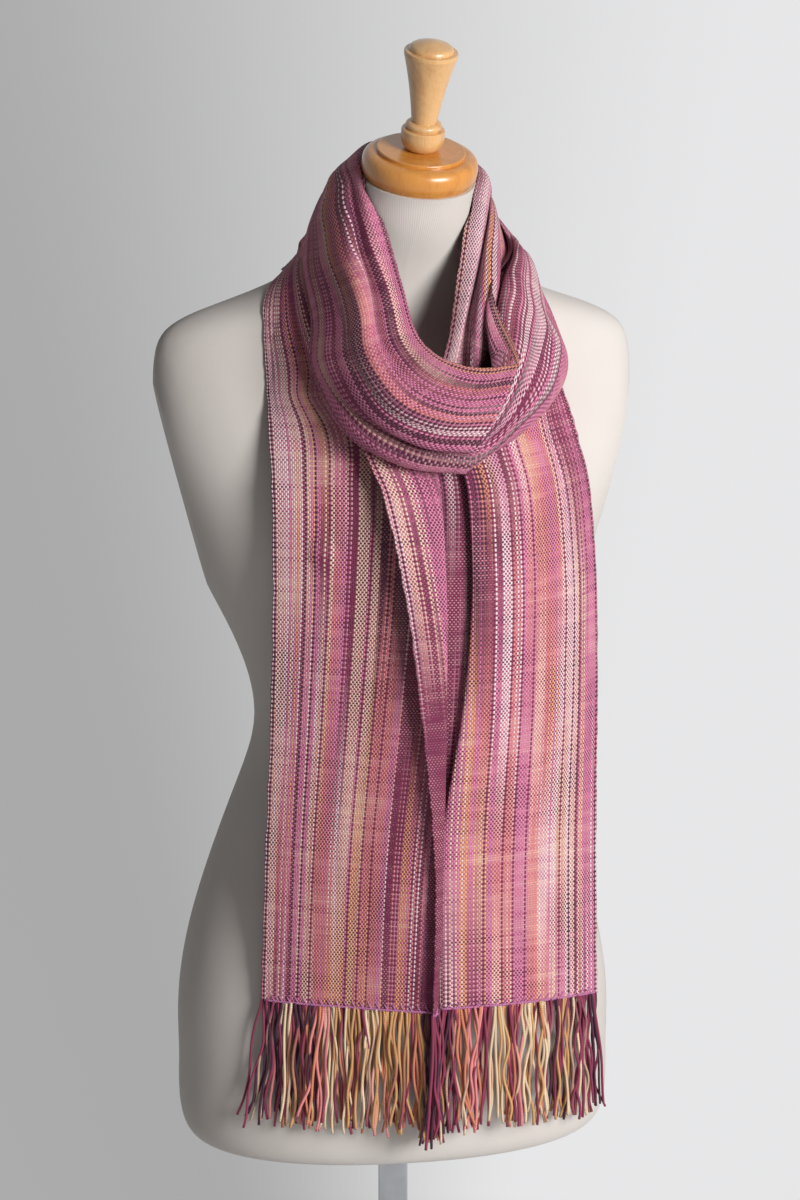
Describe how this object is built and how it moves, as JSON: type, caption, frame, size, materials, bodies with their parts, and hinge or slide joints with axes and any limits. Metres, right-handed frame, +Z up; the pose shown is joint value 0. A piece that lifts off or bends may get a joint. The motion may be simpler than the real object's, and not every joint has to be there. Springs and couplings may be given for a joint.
{
  "type": "display dress form with scarf",
  "caption": "Jersey-covered female torso form with a turned wooden cap and finial on a chrome pole and round base, wearing a fringed handwoven scarf.",
  "frame": {"origin": "on the floor under the pole, at the middle of the foot ring's underside", "axes": "+Z up along the pole, -Y towards the front of the torso, +X towards the side that is on the right when the front is seen"},
  "size_m": [0.3896, 0.37, 1.6414],
  "materials": {
    "jersey": "matt fine-knit stretch jersey",
    "shell": "matt moulded",
    "board": "plain sanded board",
    "cap_wood": "satin lacquer, turned",
    "finial_wood": "satin lacquer, turned",
    "scarf_plum": "handwoven plain weave, slight sheen",
    "scarf_stripe": "handwoven plain weave in warp stripes, slight sheen",
    "fringe_yarn": "two-ply twisted yarn",
    "chrome_tube": "polished chrome plating",
    "steel": "plain bright zinc plating",
    "knob_plastic": "black moulded",
    "nylon": "matt nylon",
    "foot_rubber": "matt black"
  },
  "bodies": {
    "stand": {"foot_ring": "foot_rubber", "base_plate": "chrome_tube", "base_hub": "chrome_tube", "base_bolt": "steel", "pole_plug": "nylon", "lower_pole": "chrome_tube", "pole_bushing": "nylon", "height_collar": "chrome_tube"},
    "knob": {"collar_knob": "knob_plastic"},
    "mast": {"upper_pole": "chrome_tube", "pole_glide": "nylon", "pole_top_plug": "nylon"},
    "form": {"jersey_cover": "jersey", "torso_front_shell": "shell", "torso_back_shell": "shell", "bottom_board": "board", "neck_block": "board", "neck_cap": "cap_wood", "finial": "finial_wood", "finial_stud": "steel", "cap_dowels": "finial_wood", "pole_socket": "chrome_tube", "socket_screws": "steel", "scarf_cowl": "scarf_plum", "scarf_left_tail": "scarf_stripe", "scarf_right_tail": "scarf_stripe", "left_fringe": "fringe_yarn", "right_fringe": "fringe_yarn"}
  },
  "joints": [
    {"name": "knob_turn", "type": "hinge", "parent": "stand", "child": "knob", "pos_m": [0, 0, 0.58], "axis": [0, 1, 0], "range_deg": [0, 720]},
    {"name": "height_slide", "type": "slide", "parent": "stand", "child": "mast", "axis": [0, 0, 1], "range_m": [-0.11, 0.2]},
    {"name": "form_swivel", "type": "hinge", "parent": "mast", "child": "form", "pos_m": [0, 0, 0.85], "axis": [0, 0, 1], "continuous": true}
  ]
}
